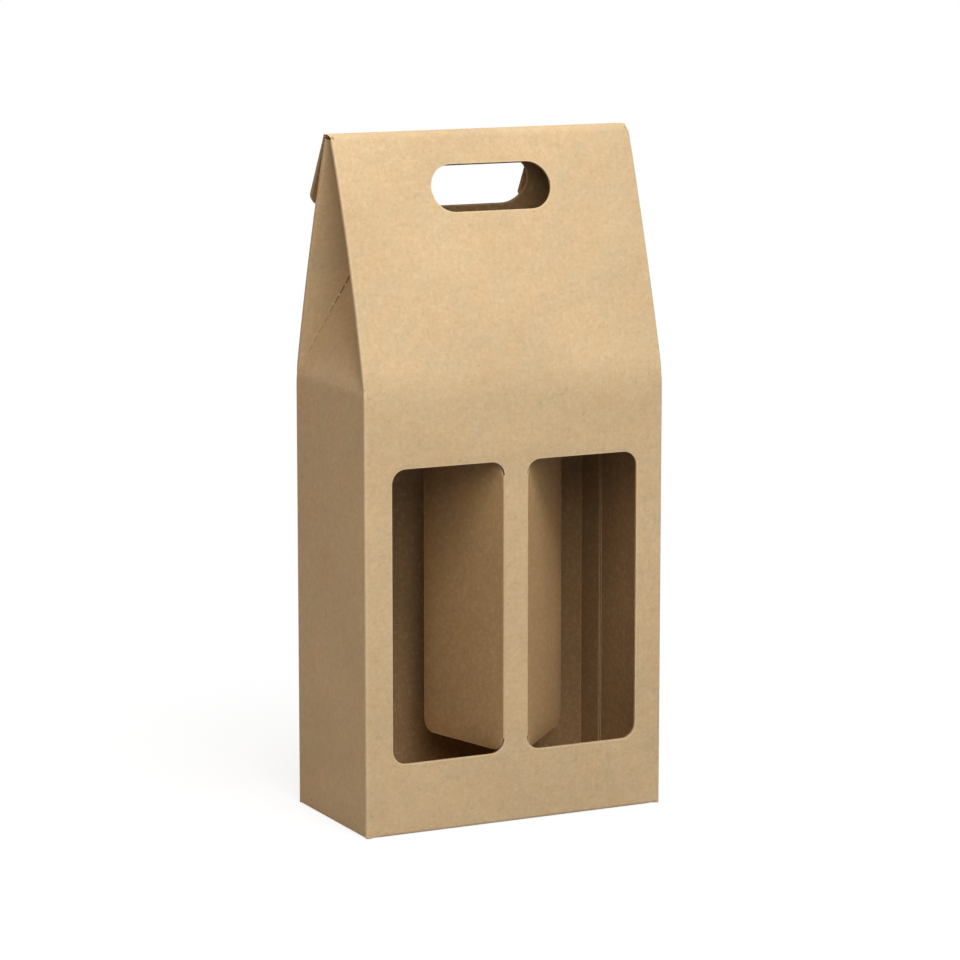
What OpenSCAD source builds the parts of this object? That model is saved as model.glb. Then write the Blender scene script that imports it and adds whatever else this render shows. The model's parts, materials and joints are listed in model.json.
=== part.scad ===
// Bottle carrier folded from one sheet of corrugated board: a sleeve with two windows, a gable roof
// with hand slots, folded-in gussets at both ends and a closing flap that hangs behind the ridge.
// X runs along the width, the front is at -Y, and the table is at Z = 0 under the sleeve's centre.

/* [Sleeve] */
// Width of the sleeve, over the outside of the board
sleeve_w = 180; // [160:1:220]
// Depth of the sleeve, over the outside of the board
sleeve_d = 90; // [80:1:110]
// Height of the upright walls, from the table to the shoulder crease
wall_h = 242.5; // [225:0.5:280]
// Thickness of the corrugated board
board = 1.5; // [1:0.1:1.8]

/* [Gable roof] */
// Height of the ridge above the shoulder crease
roof_h = 133; // [110:1:160]
// Width of the flat strip along the ridge
ridge_w = 10; // [9:0.5:16]
// How far each leaning panel bellies out, halfway up
roof_bow = 2.5; // [0.5:0.5:4]
// Distance from a gusset's top edge down to the point where its creases meet
gusset_drop = 24; // [15:1:40]

/* [Hand slots] */
// Length of each hand slot
slot_w = 72; // [60:1:90]
// Height of each hand slot, measured along the leaning panel
slot_h = 26.5; // [20:0.5:34]
// Distance from the ridge down to the slot's upper edge, measured along the panel
slot_drop = 18.6; // [14:0.1:26]

/* [Windows] */
// Width of each window
window_w = 68; // [50:1:72]
// Height of each window
window_h = 161; // [120:1:175]
// Height of the windows' lower edge above the table
window_z = 39; // [20:1:60]
// Width of the pillar between the two windows
pillar_w = 12; // [10:1:26]
// Radius of the windows' corners
window_r = 8; // [3:0.5:14]
// Angle of the left flap at rest, from flush in its window
left_flap_angle = 75.5; // [0:0.1:90]
// Angle of the right flap at rest, from flush in its window
right_flap_angle = 46.7; // [0:0.1:90]

/* [Closing flap] */
// Length of the closing flap, from the ridge to its lower edge
closing_l = 45; // [40:1:60]
// Angle at which the closing flap hangs, from the vertical
closing_lean = 29.5; // [26:0.5:60]
// Radius of the closing flap's outer corners
closing_r = 8; // [2:0.5:15]
// Width of the finger notch in the closing flap
notch_w = 74; // [64:1:96]
// Distance from the ridge down to the notch's upper edge
notch_drop = 22.6; // [16:0.2:30]
// Radius of the notch's corners
notch_r = 3; // [1:0.5:8]

/* [Bottom and glue flaps] */
// Length of the two side flaps that lie inside the bottom
dust_l = 60; // [40:1:75]
// Width of the glue flap inside the right wall
glue_w = 23.5; // [15:0.5:35]
// How far the front bottom flap stops short of the back wall
front_flap_short = 6; // [2:0.5:20]
// How far the glue flap and the bottom flaps are cut back at their ends
flap_taper = 6; // [3:0.5:10]

/* [Clearances] */
// Gap cut round a window flap
kerf = 0.4; // [0.2:0.1:1]
// Gap between a panel and the edge of a flap creased to it
crease_gap = 0.2; // [0.1:0.05:0.5]
// How far a flap's crease is pressed in, on each side of the board
crease_press = 0.05; // [0.02:0.01:0.15]
// Gap under the ridge strip, over the free top edges of the back panel and the gussets
ridge_gap = 0.4; // [0.2:0.1:1]
// Room between the back panel and the closing flap at their top
tuck_gap = 0.7; // [0.5:0.1:1.2]

/* [Hidden] */
kraft = [0.78, 0.66, 0.5];
kraft_shaded = [0.66, 0.52, 0.37];
arc_steps = 8;
bead_sides = 32;
roof_steps = 10;
overcut = 1;

half_w = sleeve_w / 2;
half_d = sleeve_d / 2;
ridge_z = wall_h + roof_h;
tuck = board + tuck_gap;
top_y = (ridge_w - tuck) / 2;
roof_l = norm([half_d - top_y, roof_h]);
roof_lean = atan2(half_d - top_y, roof_h);
roof_out = [cos(roof_lean), sin(roof_lean)];
free_edge_z = ridge_z - board - ridge_gap;

// The gusset's creases keep the lengths that they have in the flat sheet
crease_h = roof_l - gusset_drop;
apex_rise = (pow(roof_h, 2) + pow(top_y, 2) - pow(half_d, 2) - pow(roof_l, 2)
    + 2 * roof_l * crease_h) / (2 * roof_h);
apex_in = sqrt(pow(crease_h, 2) - pow(apex_rise, 2));
tip_in = sqrt(pow(half_d, 2) - pow(top_y, 2));
hem = 2 * board;

// A flap turns about the middle of the board's thickness
mid = board / 2;
closing_y = top_y + tuck - mid;
closing_z = ridge_z - mid;
window_x = pillar_w / 2;
flap_x = window_x + crease_gap + mid;
flap_y = mid - half_d;
flap_l = window_x + window_w - kerf - flap_x;
flap_h = window_h - 2 * kerf;
flap_r = window_r - kerf;

// Points of an arc from one angle to another
function arc(centre, r, from, to) = [for (i = [0 : arc_steps])
    let (a = from + (to - from) * i / arc_steps) centre + r * [cos(a), sin(a)]];

// Outline of a rectangle with all its corners rounded, centred on the origin
function rounded(w, h, r) = concat(
    arc([w / 2 - r, h / 2 - r], r, 0, 90), arc([r - w / 2, h / 2 - r], r, 90, 180),
    arc([r - w / 2, r - h / 2], r, 180, 270), arc([w / 2 - r, r - h / 2], r, 270, 360));

// Outline of a slot with round ends, centred on the origin
function stadium(w, h) = concat(
    arc([w / 2 - h / 2, 0], h / 2, -90, 90), arc([h / 2 - w / 2, 0], h / 2, 90, 270));

// Depth and height of a leaning panel at a share of the way up, set in from its outer face
function roof_point(share, inset) = [half_d + (top_y - half_d) * share, wall_h + roof_h * share]
    + (4 * roof_bow * share * (1 - share) - inset) * roof_out;

// One side of the carrier's section, from the foot to the ridge, set in by a thickness
function half_section(foot, inset) = concat(
    [[half_d - inset, foot], [half_d - inset, wall_h - inset * tan(roof_lean / 2)]],
    [for (i = [1 : roof_steps - 1]) roof_point(i / roof_steps, inset)],
    [[top_y - inset * (1 - sin(roof_lean)) / cos(roof_lean), ridge_z - inset]]);

// Edge of a gusset's hollow at the end of the carrier, from the shoulder up to the free edge
function notch_edge(side, grow) = concat(
    [[half_w + overcut, side * (half_d - hem + grow),
        wall_h - (overcut * apex_rise + grow * crease_h) / apex_in]],
    [for (i = [1 : roof_steps])
        let (p = roof_point(i / roof_steps * (free_edge_z - wall_h) / roof_h, hem - grow))
        [half_w + overcut, side * p[0], i == roof_steps ? free_edge_z : p[1]]]);

// Where a gusset's creases meet, and the inner end of its top edge
function notch_depth(side, grow) = [
    [half_w - apex_in - grow * apex_rise / crease_h, side * (crease_gap / 2 + grow),
        wall_h + apex_rise - grow * apex_in / crease_h],
    [half_w - tip_in - grow, side * (crease_gap / 2 + grow), free_edge_z]];

// Solid bar of the carrier's section, set in by a thickness on every side
module section_bar(foot, inset) {
    side = half_section(foot, inset);
    outline = concat(side, [for (i = [len(side) - 1 : -1 : 0]) [-side[i][0], side[i][1]]]);
    rotate([90, 0, 90])
        linear_extrude(height = sleeve_w - 2 * inset, center = true)
            polygon(outline);
}

// The hollow that a gusset leaves at the right-hand end, grown by a thickness
module gusset_hollow(grow) {
    n = roof_steps + 1;
    front = notch_edge(-1, grow);
    back = notch_edge(1, grow);
    front_in = notch_depth(-1, grow);
    back_in = notch_depth(1, grow);
    points = concat(front, back, front_in, back_in);
    fp = 2 * n;
    bp = 2 * n + 2;
    polyhedron(points, concat(
        [concat([for (i = [0 : n - 1]) i], [for (i = [n - 1 : -1 : 0]) n + i])],
        [for (i = [0 : n - 2]) [fp, i + 1, i]],
        [for (i = [0 : n - 2]) [bp, n + i, n + i + 1]],
        [[fp, fp + 1, n - 1], [bp, 2 * n - 1, bp + 1]],
        [[fp, bp, bp + 1], [fp, bp + 1, fp + 1]],
        [[fp, 0, n], [fp, n, bp]],
        [[fp + 1, bp + 1, 2 * n - 1], [fp + 1, 2 * n - 1, n - 1]]));
}

module both_ends() {
    children();
    mirror([1, 0, 0])
        children();
}

// Sleeve, leaning panels and gussets as one bent sheet of even thickness
module folded_shell() {
    difference() {
        section_bar(0, 0);
        difference() {
            section_bar(-overcut, board);
            both_ends()
                gusset_hollow(board);
        }
        both_ends()
            gusset_hollow(0);
        ridge_parting();
    }
}

// Parts the gussets and the back panel from the ridge strip that covers them
module ridge_parting() {
    inner_y = top_y - board * (1 - sin(roof_lean)) / cos(roof_lean);
    translate([-half_w - overcut, -inner_y, free_edge_z])
        cube([sleeve_w + 2 * overcut, inner_y + ridge_w, ridge_gap]);
    translate([-half_w - overcut, closing_y - mid - crease_gap, free_edge_z])
        cube([sleeve_w + 2 * overcut, ridge_w, board + ridge_gap + overcut]);
}

// Strip along the ridge, from the front panel to the closing flap's crease
module ridge_strip() {
    translate([-half_w, -top_y, ridge_z - board])
        cube([sleeve_w, closing_y - mid - crease_gap + top_y, board]);
}

module window_cutters() {
    for (side = [-1, 1])
        translate([side * (window_x + window_w / 2), -half_d, window_z + window_h / 2])
            rotate([90, 0, 0])
                linear_extrude(height = 2 * (board + overcut), center = true)
                    polygon(rounded(window_w, window_h, window_r));
}

// Cutters for the hand slots in the front and the back panel
module slot_cutters() {
    reach = 2 * (board + roof_bow + overcut);
    centre = roof_point(1 - (slot_drop + slot_h / 2) / roof_l, 0);
    for (side = [-1, 1])
        translate([0, side * centre[0], centre[1]])
            rotate([90 + side * roof_lean, 0, 0])
                linear_extrude(height = reach, center = true)
                    polygon(stadium(slot_w, slot_h));
}

// A flap hinged on one edge whose far corners are cut back, lying flat on its underside
module tapered_flap(w, l) {
    linear_extrude(height = board)
        polygon([[-w / 2, 0], [w / 2, 0], [w / 2 - flap_taper / 2, l - flap_taper],
            [w / 2 - flap_taper, l], [flap_taper - w / 2, l], [flap_taper / 2 - w / 2, l - flap_taper]]);
}

// Two side flaps inside, the front flap under them and the back flap outermost, all glued
module bottom_flaps() {
    inner_w = sleeve_w - 2 * board;
    inner_d = sleeve_d - 2 * board;
    translate([0, half_d - board, 0])
        rotate(180)
            tapered_flap(inner_w - 2 * kerf, inner_d - 2 * kerf);
    translate([0, board - half_d, board])
        tapered_flap(inner_w - 2 * kerf, inner_d - front_flap_short);
    for (side = [-1, 1])
        translate([side * (half_w - board), 0, 2 * board])
            rotate(side * 90)
                tapered_flap(inner_d - 2 * kerf, dust_l);
}

// Glue flap folded round from the back wall and stuck to the inside of the right wall
module glue_flap() {
    foot = 4 * board;
    head = wall_h - board;
    translate([half_w - board, half_d - board, 0])
        rotate([90, 0, -90])
            linear_extrude(height = board)
                polygon([[0, foot], [glue_w, foot + flap_taper], [glue_w, head - flap_taper], [0, head]]);
}

module carton() {
    color(kraft) {
        difference() {
            union() {
                folded_shell();
                ridge_strip();
            }
            window_cutters();
            slot_cutters();
        }
        bottom_flaps();
        glue_flap();
    }
}

// Round edge of a creased flap, along Z from 0 to a length
module crease_bead(l) {
    cylinder(h = l, r = mid - crease_press, $fn = bead_sides);
}

// A window flap flush in its window, hinged at X = 0 and reaching to +X, with round corners clear
// of the crease
module window_flap() {
    translate([0, 0, flap_r])
        crease_bead(flap_h - 2 * flap_r);
    rotate([90, 0, 0])
        linear_extrude(height = board, center = true)
            polygon(concat([[0, flap_h - flap_r], [0, flap_r]],
                arc([board + flap_r, flap_r], flap_r, 180, 270),
                arc([flap_l - flap_r, flap_r], flap_r, 270, 360),
                arc([flap_l - flap_r, flap_h - flap_r], flap_r, 0, 90),
                arc([board + flap_r, flap_h - flap_r], flap_r, 90, 180)));
}

module left_window_flap() {
    color(kraft_shaded)
        translate([-flap_x, flap_y, window_z + kerf])
            rotate(180 - left_flap_angle)
                window_flap();
}

module right_window_flap() {
    color(kraft_shaded)
        translate([flap_x, flap_y, window_z + kerf])
            rotate(right_flap_angle)
                window_flap();
}

// Outline of the closing flap, with the crease at Y = 0, two ears and the finger notch between them
function closing_outline(edge_x, ear_x) = concat(
    [[edge_x, 0], [-edge_x, 0]],
    arc([closing_r - edge_x, closing_r - closing_l], closing_r, 180, 270),
    arc([-ear_x - notch_r, notch_r - closing_l], notch_r, 270, 360),
    arc([notch_r - ear_x, -notch_drop - notch_r], notch_r, 180, 90),
    arc([ear_x - notch_r, -notch_drop - notch_r], notch_r, 90, 0),
    arc([ear_x + notch_r, notch_r - closing_l], notch_r, 180, 270),
    arc([edge_x - closing_r, closing_r - closing_l], closing_r, 270, 360));

module closing_flap() {
    edge_x = half_w - kerf;
    color(kraft)
        translate([0, closing_y, closing_z])
            rotate([90 + closing_lean, 0, 0]) {
                translate([-edge_x, 0, 0])
                    rotate([0, 90, 0])
                        crease_bead(2 * edge_x);
                linear_extrude(height = board, center = true)
                    polygon(closing_outline(edge_x, notch_w / 2));
            }
}

carton();
closing_flap();
left_window_flap();
right_window_flap();
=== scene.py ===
# Bottle carrier folded from one sheet of kraft corrugated board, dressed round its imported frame
import json
import math

import bpy
import numpy as np
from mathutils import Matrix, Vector, geometry


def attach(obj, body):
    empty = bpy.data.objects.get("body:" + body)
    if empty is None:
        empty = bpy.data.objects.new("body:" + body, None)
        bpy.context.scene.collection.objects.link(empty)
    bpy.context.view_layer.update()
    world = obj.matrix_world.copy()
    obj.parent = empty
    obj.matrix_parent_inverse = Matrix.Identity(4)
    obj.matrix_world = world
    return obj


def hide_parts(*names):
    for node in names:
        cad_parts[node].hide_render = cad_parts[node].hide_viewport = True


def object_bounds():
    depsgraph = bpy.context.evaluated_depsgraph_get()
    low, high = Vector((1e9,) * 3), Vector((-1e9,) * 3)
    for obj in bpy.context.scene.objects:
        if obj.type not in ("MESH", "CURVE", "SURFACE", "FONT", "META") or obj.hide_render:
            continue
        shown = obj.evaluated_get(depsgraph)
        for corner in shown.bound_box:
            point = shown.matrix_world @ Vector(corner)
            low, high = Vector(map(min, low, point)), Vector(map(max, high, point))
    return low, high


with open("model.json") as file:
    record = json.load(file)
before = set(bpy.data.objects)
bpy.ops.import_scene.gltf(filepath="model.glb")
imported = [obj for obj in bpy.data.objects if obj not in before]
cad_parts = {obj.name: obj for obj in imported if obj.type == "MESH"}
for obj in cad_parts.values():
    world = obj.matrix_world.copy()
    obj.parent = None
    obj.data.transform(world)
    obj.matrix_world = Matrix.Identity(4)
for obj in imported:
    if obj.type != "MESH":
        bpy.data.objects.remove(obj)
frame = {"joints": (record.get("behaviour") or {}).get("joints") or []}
cadLow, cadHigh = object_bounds()
joints = {joint["name"]: joint for joint in frame["joints"]}
metre = 0.001  # every size below is in millimetres, and angles are in degrees

halfWidth = (cadHigh.x - cadLow.x) / 2 / metre
halfDepth = (cadHigh.y - cadLow.y) / 2 / metre
ridgeTop = cadHigh.z / metre

# What is seen, and from where

viewpoint = {
    "azimuth": -26.44,  # from the front towards the left side
    "elevation": 9.65,
    "lens": 142.99,
    "distance": 2.099,  # metres from the camera to what it aims at
    "aim": (0.0004, -0.0002, 0.18244),
}


def placeCamera():
    turn, tilt = math.radians(viewpoint["azimuth"]), math.radians(viewpoint["elevation"])
    back = Vector((math.sin(turn) * math.cos(tilt), -math.cos(turn) * math.cos(tilt), math.sin(tilt)))
    camera = bpy.data.objects.new("camera", bpy.data.cameras.new("camera"))
    bpy.context.scene.collection.objects.link(camera)
    camera.data.lens = viewpoint["lens"]
    camera.location = Vector(viewpoint["aim"]) + back * viewpoint["distance"]
    camera.rotation_euler = (-back).to_track_quat("-Z", "Y").to_euler()
    bpy.context.scene.camera = camera


placeCamera()
print("camera placed")


# Shader maths: a wire is one socket of a material

class Wire:
    def __init__(self, tree, socket=None):
        self.tree = tree
        self.socket = socket

    def node(self, kind, settings=None, values=None, out=0):
        made = self.tree.nodes.new(kind)
        for key, value in (settings or {}).items():
            setattr(made, key, value)
        for key, value in (values or {}).items():
            if isinstance(value, Wire):
                self.tree.links.new(value.socket, made.inputs[key])
            else:
                made.inputs[key].default_value = value
        return Wire(self.tree, made.outputs[out])

    def maths(self, operation, first, second=0.0):
        return self.node("ShaderNodeMath", {"operation": operation}, {0: first, 1: second})

    def __add__(self, other): return self.maths("ADD", self, other)
    def __radd__(self, other): return self.maths("ADD", other, self)
    def __sub__(self, other): return self.maths("SUBTRACT", self, other)
    def __rsub__(self, other): return self.maths("SUBTRACT", other, self)
    def __mul__(self, other): return self.maths("MULTIPLY", self, other)
    def __rmul__(self, other): return self.maths("MULTIPLY", other, self)
    def __truediv__(self, other): return self.maths("DIVIDE", self, other)
    def __abs__(self): return self.maths("ABSOLUTE", self)

    def ramp(self, low, high, bottom=0.0, top=1.0):  # smooth step from low to high
        return self.node("ShaderNodeMapRange", {"interpolation_type": "SMOOTHSTEP"},
                         {0: self, 1: low, 2: high, 3: bottom, 4: top})

    def sine(self): return self.maths("SINE", self)
    def most(self, other): return self.maths("MAXIMUM", self, other)

    def stretch(self, sizes, turn=0.0):  # coordinates divided by feature sizes, turned in the sheet's plane
        turned = self.node("ShaderNodeVectorRotate", {"rotation_type": "Z_AXIS"},
                           {"Vector": self, "Angle": math.radians(turn)})
        return turned.node("ShaderNodeVectorMath", {"operation": "DIVIDE"}, {0: turned, 1: sizes})

    def noise(self, detail, rough, warp=0.0):
        return self.node("ShaderNodeTexNoise", values={"Vector": self, "Scale": 1.0, "Detail": detail,
                                                       "Roughness": rough, "Distortion": warp})

    def part(self, axis):
        return self.node("ShaderNodeSeparateXYZ", values={0: self}, out=axis)

    def mix(self, first, second, factor):  # colours
        return self.node("ShaderNodeMix", {"data_type": "RGBA"}, {0: factor, 6: first, 7: second}, out=2)

    def blend(self, other, factor):
        return self.mix(self, other, factor)

    def shade(self, value):  # a colour made lighter or darker
        return self.node("ShaderNodeVectorMath", {"operation": "SCALE"}, {0: self, 3: value})


def linear(red, green, blue):  # a colour as seen on screen, for a socket
    def one(level):
        level /= 255
        return level / 12.92 if level <= 0.04045 else ((level + 0.055) / 1.055) ** 2.4
    return (one(red), one(green), one(blue), 1.0)


def startMaterial(name):
    material = bpy.data.materials.new(name)
    material.use_nodes = True
    surface = material.node_tree.nodes["Principled BSDF"]
    return material, Wire(material.node_tree), surface


def plug(wire, surface, name):
    wire.tree.links.new(wire.socket, surface.inputs[name])


kraftLook = {
    "outside": (linear(200, 174, 136), linear(204, 173, 132)),  # the liner drifts between two shades
    # painted shade: the window flaps are the same outer liner, made darker and warmer for the shade inside the
    # compartments
    "flaps": (linear(186, 149, 104), linear(190, 149, 101)),
    # painted shade: the inner liner is made darker for the shade inside the carrier
    "inside": (linear(158, 128, 91), linear(163, 128, 88)),
    # worn: a paler colour for real wear at the cuts and torn perforations, and along the folds also for a painted
    # highlight
    "worn": linear(226, 204, 170),
    "pale fibre": linear(229, 209, 177),
    "dark fibre": linear(152, 119, 82),
    "fleck": linear(104, 76, 50),
    "roughness": 0.86,
    "flutePitch": 3.2,
    "clouds": 0.24,  # how far each size of unevenness lightens and darkens the paper
    "blotches": 0.22,
    "mottle": 0.17,
    "grain": 0.07,
    "paleFibres": 0.28,  # strengths of what is blended over it
    "darkFibres": 0.3,
    "flecks": 0.7,
    "wear": 0.4,
}

perforation = {
    "slot": 5.2,  # length of each cut
    "pitch": 6.4,
    "halfWidth": 0.3,
    "from": 48.0,  # along the crease from the shoulder
}


def paperFibres(place, across, along, turn, sparse):
    # Fine wandering lines where a stretched noise crosses its middle, broken up by a second noise
    lines = abs(place.stretch((across, along, 1.0), turn).noise(2.0, 0.55, 0.6) - 0.5)
    gate = place.stretch((along * 0.7, along * 0.9, 1.0), turn + 40).noise(1.0, 0.5)
    return (1 - lines.ramp(0.0, 0.05)) * gate.ramp(sparse, sparse + 0.1)


def flecks(place, spacing, radius, rarity):
    # Round dark spots of bark, one in some of the cells of a scattered pattern
    cells = place.stretch((spacing, spacing * 0.8, spacing))
    near = cells.node("ShaderNodeTexVoronoi", {"feature": "F1"}, {"Vector": cells, "Scale": 1.0})
    kept = Wire(cells.tree, near.socket.node.outputs["Color"]).part(0)
    return (1 - near.ramp(radius * 0.4 / spacing, radius / spacing)) * kept.ramp(rarity, rarity + 0.02)


def kraftPaper(name, shades, perforated=False):
    material, start, surface = startMaterial(name)
    place = start.node("ShaderNodeAttribute", {"attribute_name": "blank"}, out=1)
    crease = start.node("ShaderNodeAttribute", {"attribute_name": "crease"}, out=2)
    cut = start.node("ShaderNodeAttribute", {"attribute_name": "cut"}, out=2)
    across = place.part(0)

    clouds = place.stretch((60.0, 46.0, 20.0)).noise(2.0, 0.5)
    drift = place.stretch((17.0, 24.0, 9.0), 20).noise(2.0, 0.5)
    blotch = place.stretch((8.0, 6.5, 4.0), -12).noise(3.0, 0.6)
    mottle = place.stretch((2.7, 2.2, 1.0)).noise(3.0, 0.6)
    grain = place.stretch((0.8, 0.7, 1.0)).noise(2.0, 0.6)
    flutes = (across * (2 * math.pi / kraftLook["flutePitch"])).sine()
    pale = paperFibres(place, 0.55, 4.2, 8.0, 0.5).most(paperFibres(place, 0.6, 3.6, 74.0, 0.52))
    dark = paperFibres(place, 0.5, 3.2, -31.0, 0.52).most(paperFibres(place, 0.5, 3.8, 52.0, 0.55))
    spots = flecks(place, 5.0, 0.36, 0.62).most(flecks(place, 27.0, 0.75, 0.7) * 0.9)

    tone = (1 + (clouds - 0.5) * kraftLook["clouds"] + (blotch - 0.5) * kraftLook["blotches"]
            + (mottle - 0.5) * kraftLook["mottle"] + (grain - 0.5) * kraftLook["grain"] + flutes * 0.004)
    colour = start.mix(shades[0], shades[1], drift.ramp(0.2, 0.8))
    colour = colour.blend(kraftLook["pale fibre"], pale * kraftLook["paleFibres"])
    colour = colour.blend(kraftLook["dark fibre"], dark * kraftLook["darkFibres"])
    colour = colour.blend(kraftLook["fleck"], spots * kraftLook["flecks"])
    breakup = place.stretch((1.4, 2.2, 1.0)).noise(3.0, 0.65)
    # real wear along the folds, partly a painted highlight: the folds are made paler, most on the upright corners
    foldWearAndHighlight = (1 - crease.ramp(0.25, 1.7)) * breakup.ramp(0.28, 0.62, 0.35, 1.0)
    trimmed = (1 - cut.ramp(0.2, 1.0)) * breakup.ramp(0.3, 0.6, 0.4, 1.0)
    colour = colour.blend(kraftLook["worn"], foldWearAndHighlight.most(trimmed) * kraftLook["wear"])
    height = (grain - 0.5) * 0.5 + (mottle - 0.5) * 0.7 + pale * 0.25 + flutes * 0.05

    if perforated:
        colour, height = perforate(place, colour, height, breakup)

    plug(colour.shade(tone), surface, "Base Color")
    plug(kraftLook["roughness"] + (mottle - 0.5) * 0.12, surface, "Roughness")
    surface.inputs["Specular IOR Level"].default_value = 0.28
    bump = start.node("ShaderNodeBump", values={"Strength": 0.35, "Distance": 0.00012, "Height": height})
    plug(bump, surface, "Normal")
    return material


def perforate(place, colour, height, breakup):
    # The gussets fold along cut dashes, torn open in places, from each shoulder corner to where they meet. The open
    # dashes are painted dark for the shade in them, and the pale torn fibres beside them are partly a painted
    # highlight.
    run, rise = gusset["foldMeet"] - gusset["hem"], gusset["foldRise"]
    length = math.hypot(run, rise)
    u, v = place.part(0), place.part(1)
    aside = abs(abs(u) - halfWidth - halfDepth)  # from the middle of a side panel
    inner = (halfDepth - gusset["hem"]) - aside
    up = v - wallHeight
    along = inner * (run / length) + up * (rise / length)
    off = abs(inner * (rise / length) - up * (run / length) + (breakup - 0.5) * 0.5)
    beat = along.maths("FRACT", along / perforation["pitch"])
    dash = beat.ramp(0.0, 0.04) * (1 - beat.ramp(perforation["slot"] / perforation["pitch"] - 0.04,
                                                 perforation["slot"] / perforation["pitch"]))
    there = along.ramp(-1.0, 1.0) * (1 - along.ramp(length - 1, length + 1))
    there = there * (1 - aside.ramp(halfDepth - 1.0, halfDepth)) * u.ramp(backCorner - 1.0, backCorner - 0.9)
    opened = along.ramp(perforation["from"] - 12, perforation["from"] + 6, 0.35, 1.0)
    slit = (1 - off.ramp(perforation["halfWidth"], perforation["halfWidth"] + 0.25)) * dash * there
    # torn fibres made paler beside the slits, partly a painted highlight along the perforated crease
    tornAndHighlight = (1 - off.ramp(0.5, 1.3)) * breakup.ramp(0.52, 0.66) * there * opened
    colour = colour.blend(kraftLook["worn"], tornAndHighlight * 0.75)
    # painted shade: the slits are darkened where they gape open, standing in for the shadow in the gaps
    colour = colour.blend(linear(62, 42, 26), slit * opened * 0.85)
    return colour, height - slit * opened * 4.0


def cutBoard(name, dark, pale):
    # Raw edge of the board: the liners' cut fibres, or the fluted paper between them
    material, start, surface = startMaterial(name)
    place = start.node("ShaderNodeAttribute", {"attribute_name": "blank"}, out=1)
    fuzz = place.stretch((0.5, 0.5, 0.3)).noise(3.0, 0.65)
    streak = place.stretch((3.5, 3.5, 1.0)).noise(2.0, 0.5)
    colour = start.mix(dark, pale, streak.ramp(0.3, 0.7))
    plug(colour.shade(1 + (fuzz - 0.5) * 0.3), surface, "Base Color")
    plug(0.93 + (fuzz - 0.5) * 0.1, surface, "Roughness")
    surface.inputs["Specular IOR Level"].default_value = 0.2
    plug(start.node("ShaderNodeBump", values={"Strength": 0.5, "Distance": 0.0001, "Height": fuzz}), surface, "Normal")
    return material


# The blank: each point of the flat sheet has a place across it (u) and up it (v). The front wall
# lies at u from -90 to 90, the left side, the back wall and the glue flap follow to the left, and
# the right side follows to the right. v is the height on the walls and runs on over the roof.

carton = {
    "board": 1.5,
    "wallHeight": 242.5,
    "ridgeHalf": 3.9,  # half the outer depth of the leaning panels where they meet the ridge
    "freeEdgeDrop": 1.9,  # from the ridge's top down to the free edges under it
    "bowFront": (3.3, 1.3),  # how far the front panel bellies out, at its left and its right end
    "bowBack": (2.2, 2.2),
    "cornerFold": 1.6,  # reach of a fold's rounding, on each side of its line
    "shoulderFold": 10.0,
    "gussetFold": 4.0,
    "ridgeFold": 4.5,
    "crushedCorner": (5.0, (-1.3, 0.2, -0.7)),  # reach and push of the ridge's right end
    "insideFold": 0.9,  # reach of the rounding on the board's inner face, where it folds over
    "insideHollow": 2.4,  # and where it folds the other way
    "miter": 3.0,  # reach of the shift that keeps the inner face clear of itself at a fold
    "flatTurn": 2.6,  # radians beyond which a fold lies flat on itself
    "grid": 9.0,
}

gusset = {
    "hem": 3.0,  # the two thicknesses of board seen at each end of the roof
    "foldMeet": 45.0,
    "foldRise": 115.2,  # up the sheet, from the shoulder to where the creases meet
    "apexIn": 43.5,  # and the same point on the folded carrier, in from the end and up
    "apexRise": 106.7,
    "tipIn": 44.8,
}

handSlot = {"length": 72.0, "height": 26.5, "drop": 18.6}

window = {"width": 68.0, "height": 161.0, "foot": 39.0, "pillar": 12.0, "radius": 8.0}

glueFlap = {"width": 23.5, "taper": 6.0}

bottomFlaps = {  # how far each flap reaches in, what it leaves at its sides, and its way up over the others
    "back": {"reach": 86.6, "side": 3.4, "rise": [(0, 0, 0), (90, 90, 0)]},
    "front": {"reach": 82.0, "side": 4.9, "rise": [(0, 0, 0), (1.7, 1.7, 0), (3.9, 3.25, 1.56), (90, 89.35, 1.56)]},
    "side": {"reach": 60.0, "side": 2.0, "rise": [(0, 0, 0), (1.7, 1.7, 0), (6.1, 4.8, 3.12), (90, 88.7, 3.12)]},
    "taper": 6.0,
}

cutEdge = {
    "liner": 0.16,  # each liner's share of the thickness
    "depth": 1.3,  # how deep the hollows between the flutes are modelled
    "medium": 0.055,  # half the fluted paper's share of the thickness
    "crush": 0.13,  # how far the die presses each face in at a cut
    "crushReach": 0.9,
    "clearOfHinge": 4.0,
}

board, wallHeight = carton["board"], carton["wallHeight"]
roofHeight = ridgeTop - wallHeight
roofLength = math.hypot(halfDepth - carton["ridgeHalf"], roofHeight)
lean = math.atan2(halfDepth - carton["ridgeHalf"], roofHeight)
freeShare = 1 - carton["freeEdgeDrop"] / roofHeight
freeLength = freeShare * roofLength
backCorner = -halfWidth - 2 * halfDepth  # u of the back wall's left corner
girth = 4 * (halfWidth + halfDepth)
farEnd = backCorner - 2 * halfWidth  # u of its right end, which meets the right side
seamLine = farEnd + board
rightEnd = halfWidth + 2 * halfDepth
closingAxis = [value / metre for value in joints["closing_flap_hinge"]["pos_m"]]
hingeCup = board / 2 + 0.03
lip = math.sqrt(hingeCup ** 2 - (board / 2) ** 2)
stripLength = carton["ridgeHalf"] + closingAxis[1] - lip
leftAxis = [value / metre for value in joints["left_window_flap_hinge"]["pos_m"]]
rightAxis = [value / metre for value in joints["right_window_flap_hinge"]["pos_m"]]
pillarEdge = rightAxis[0] - lip


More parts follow.
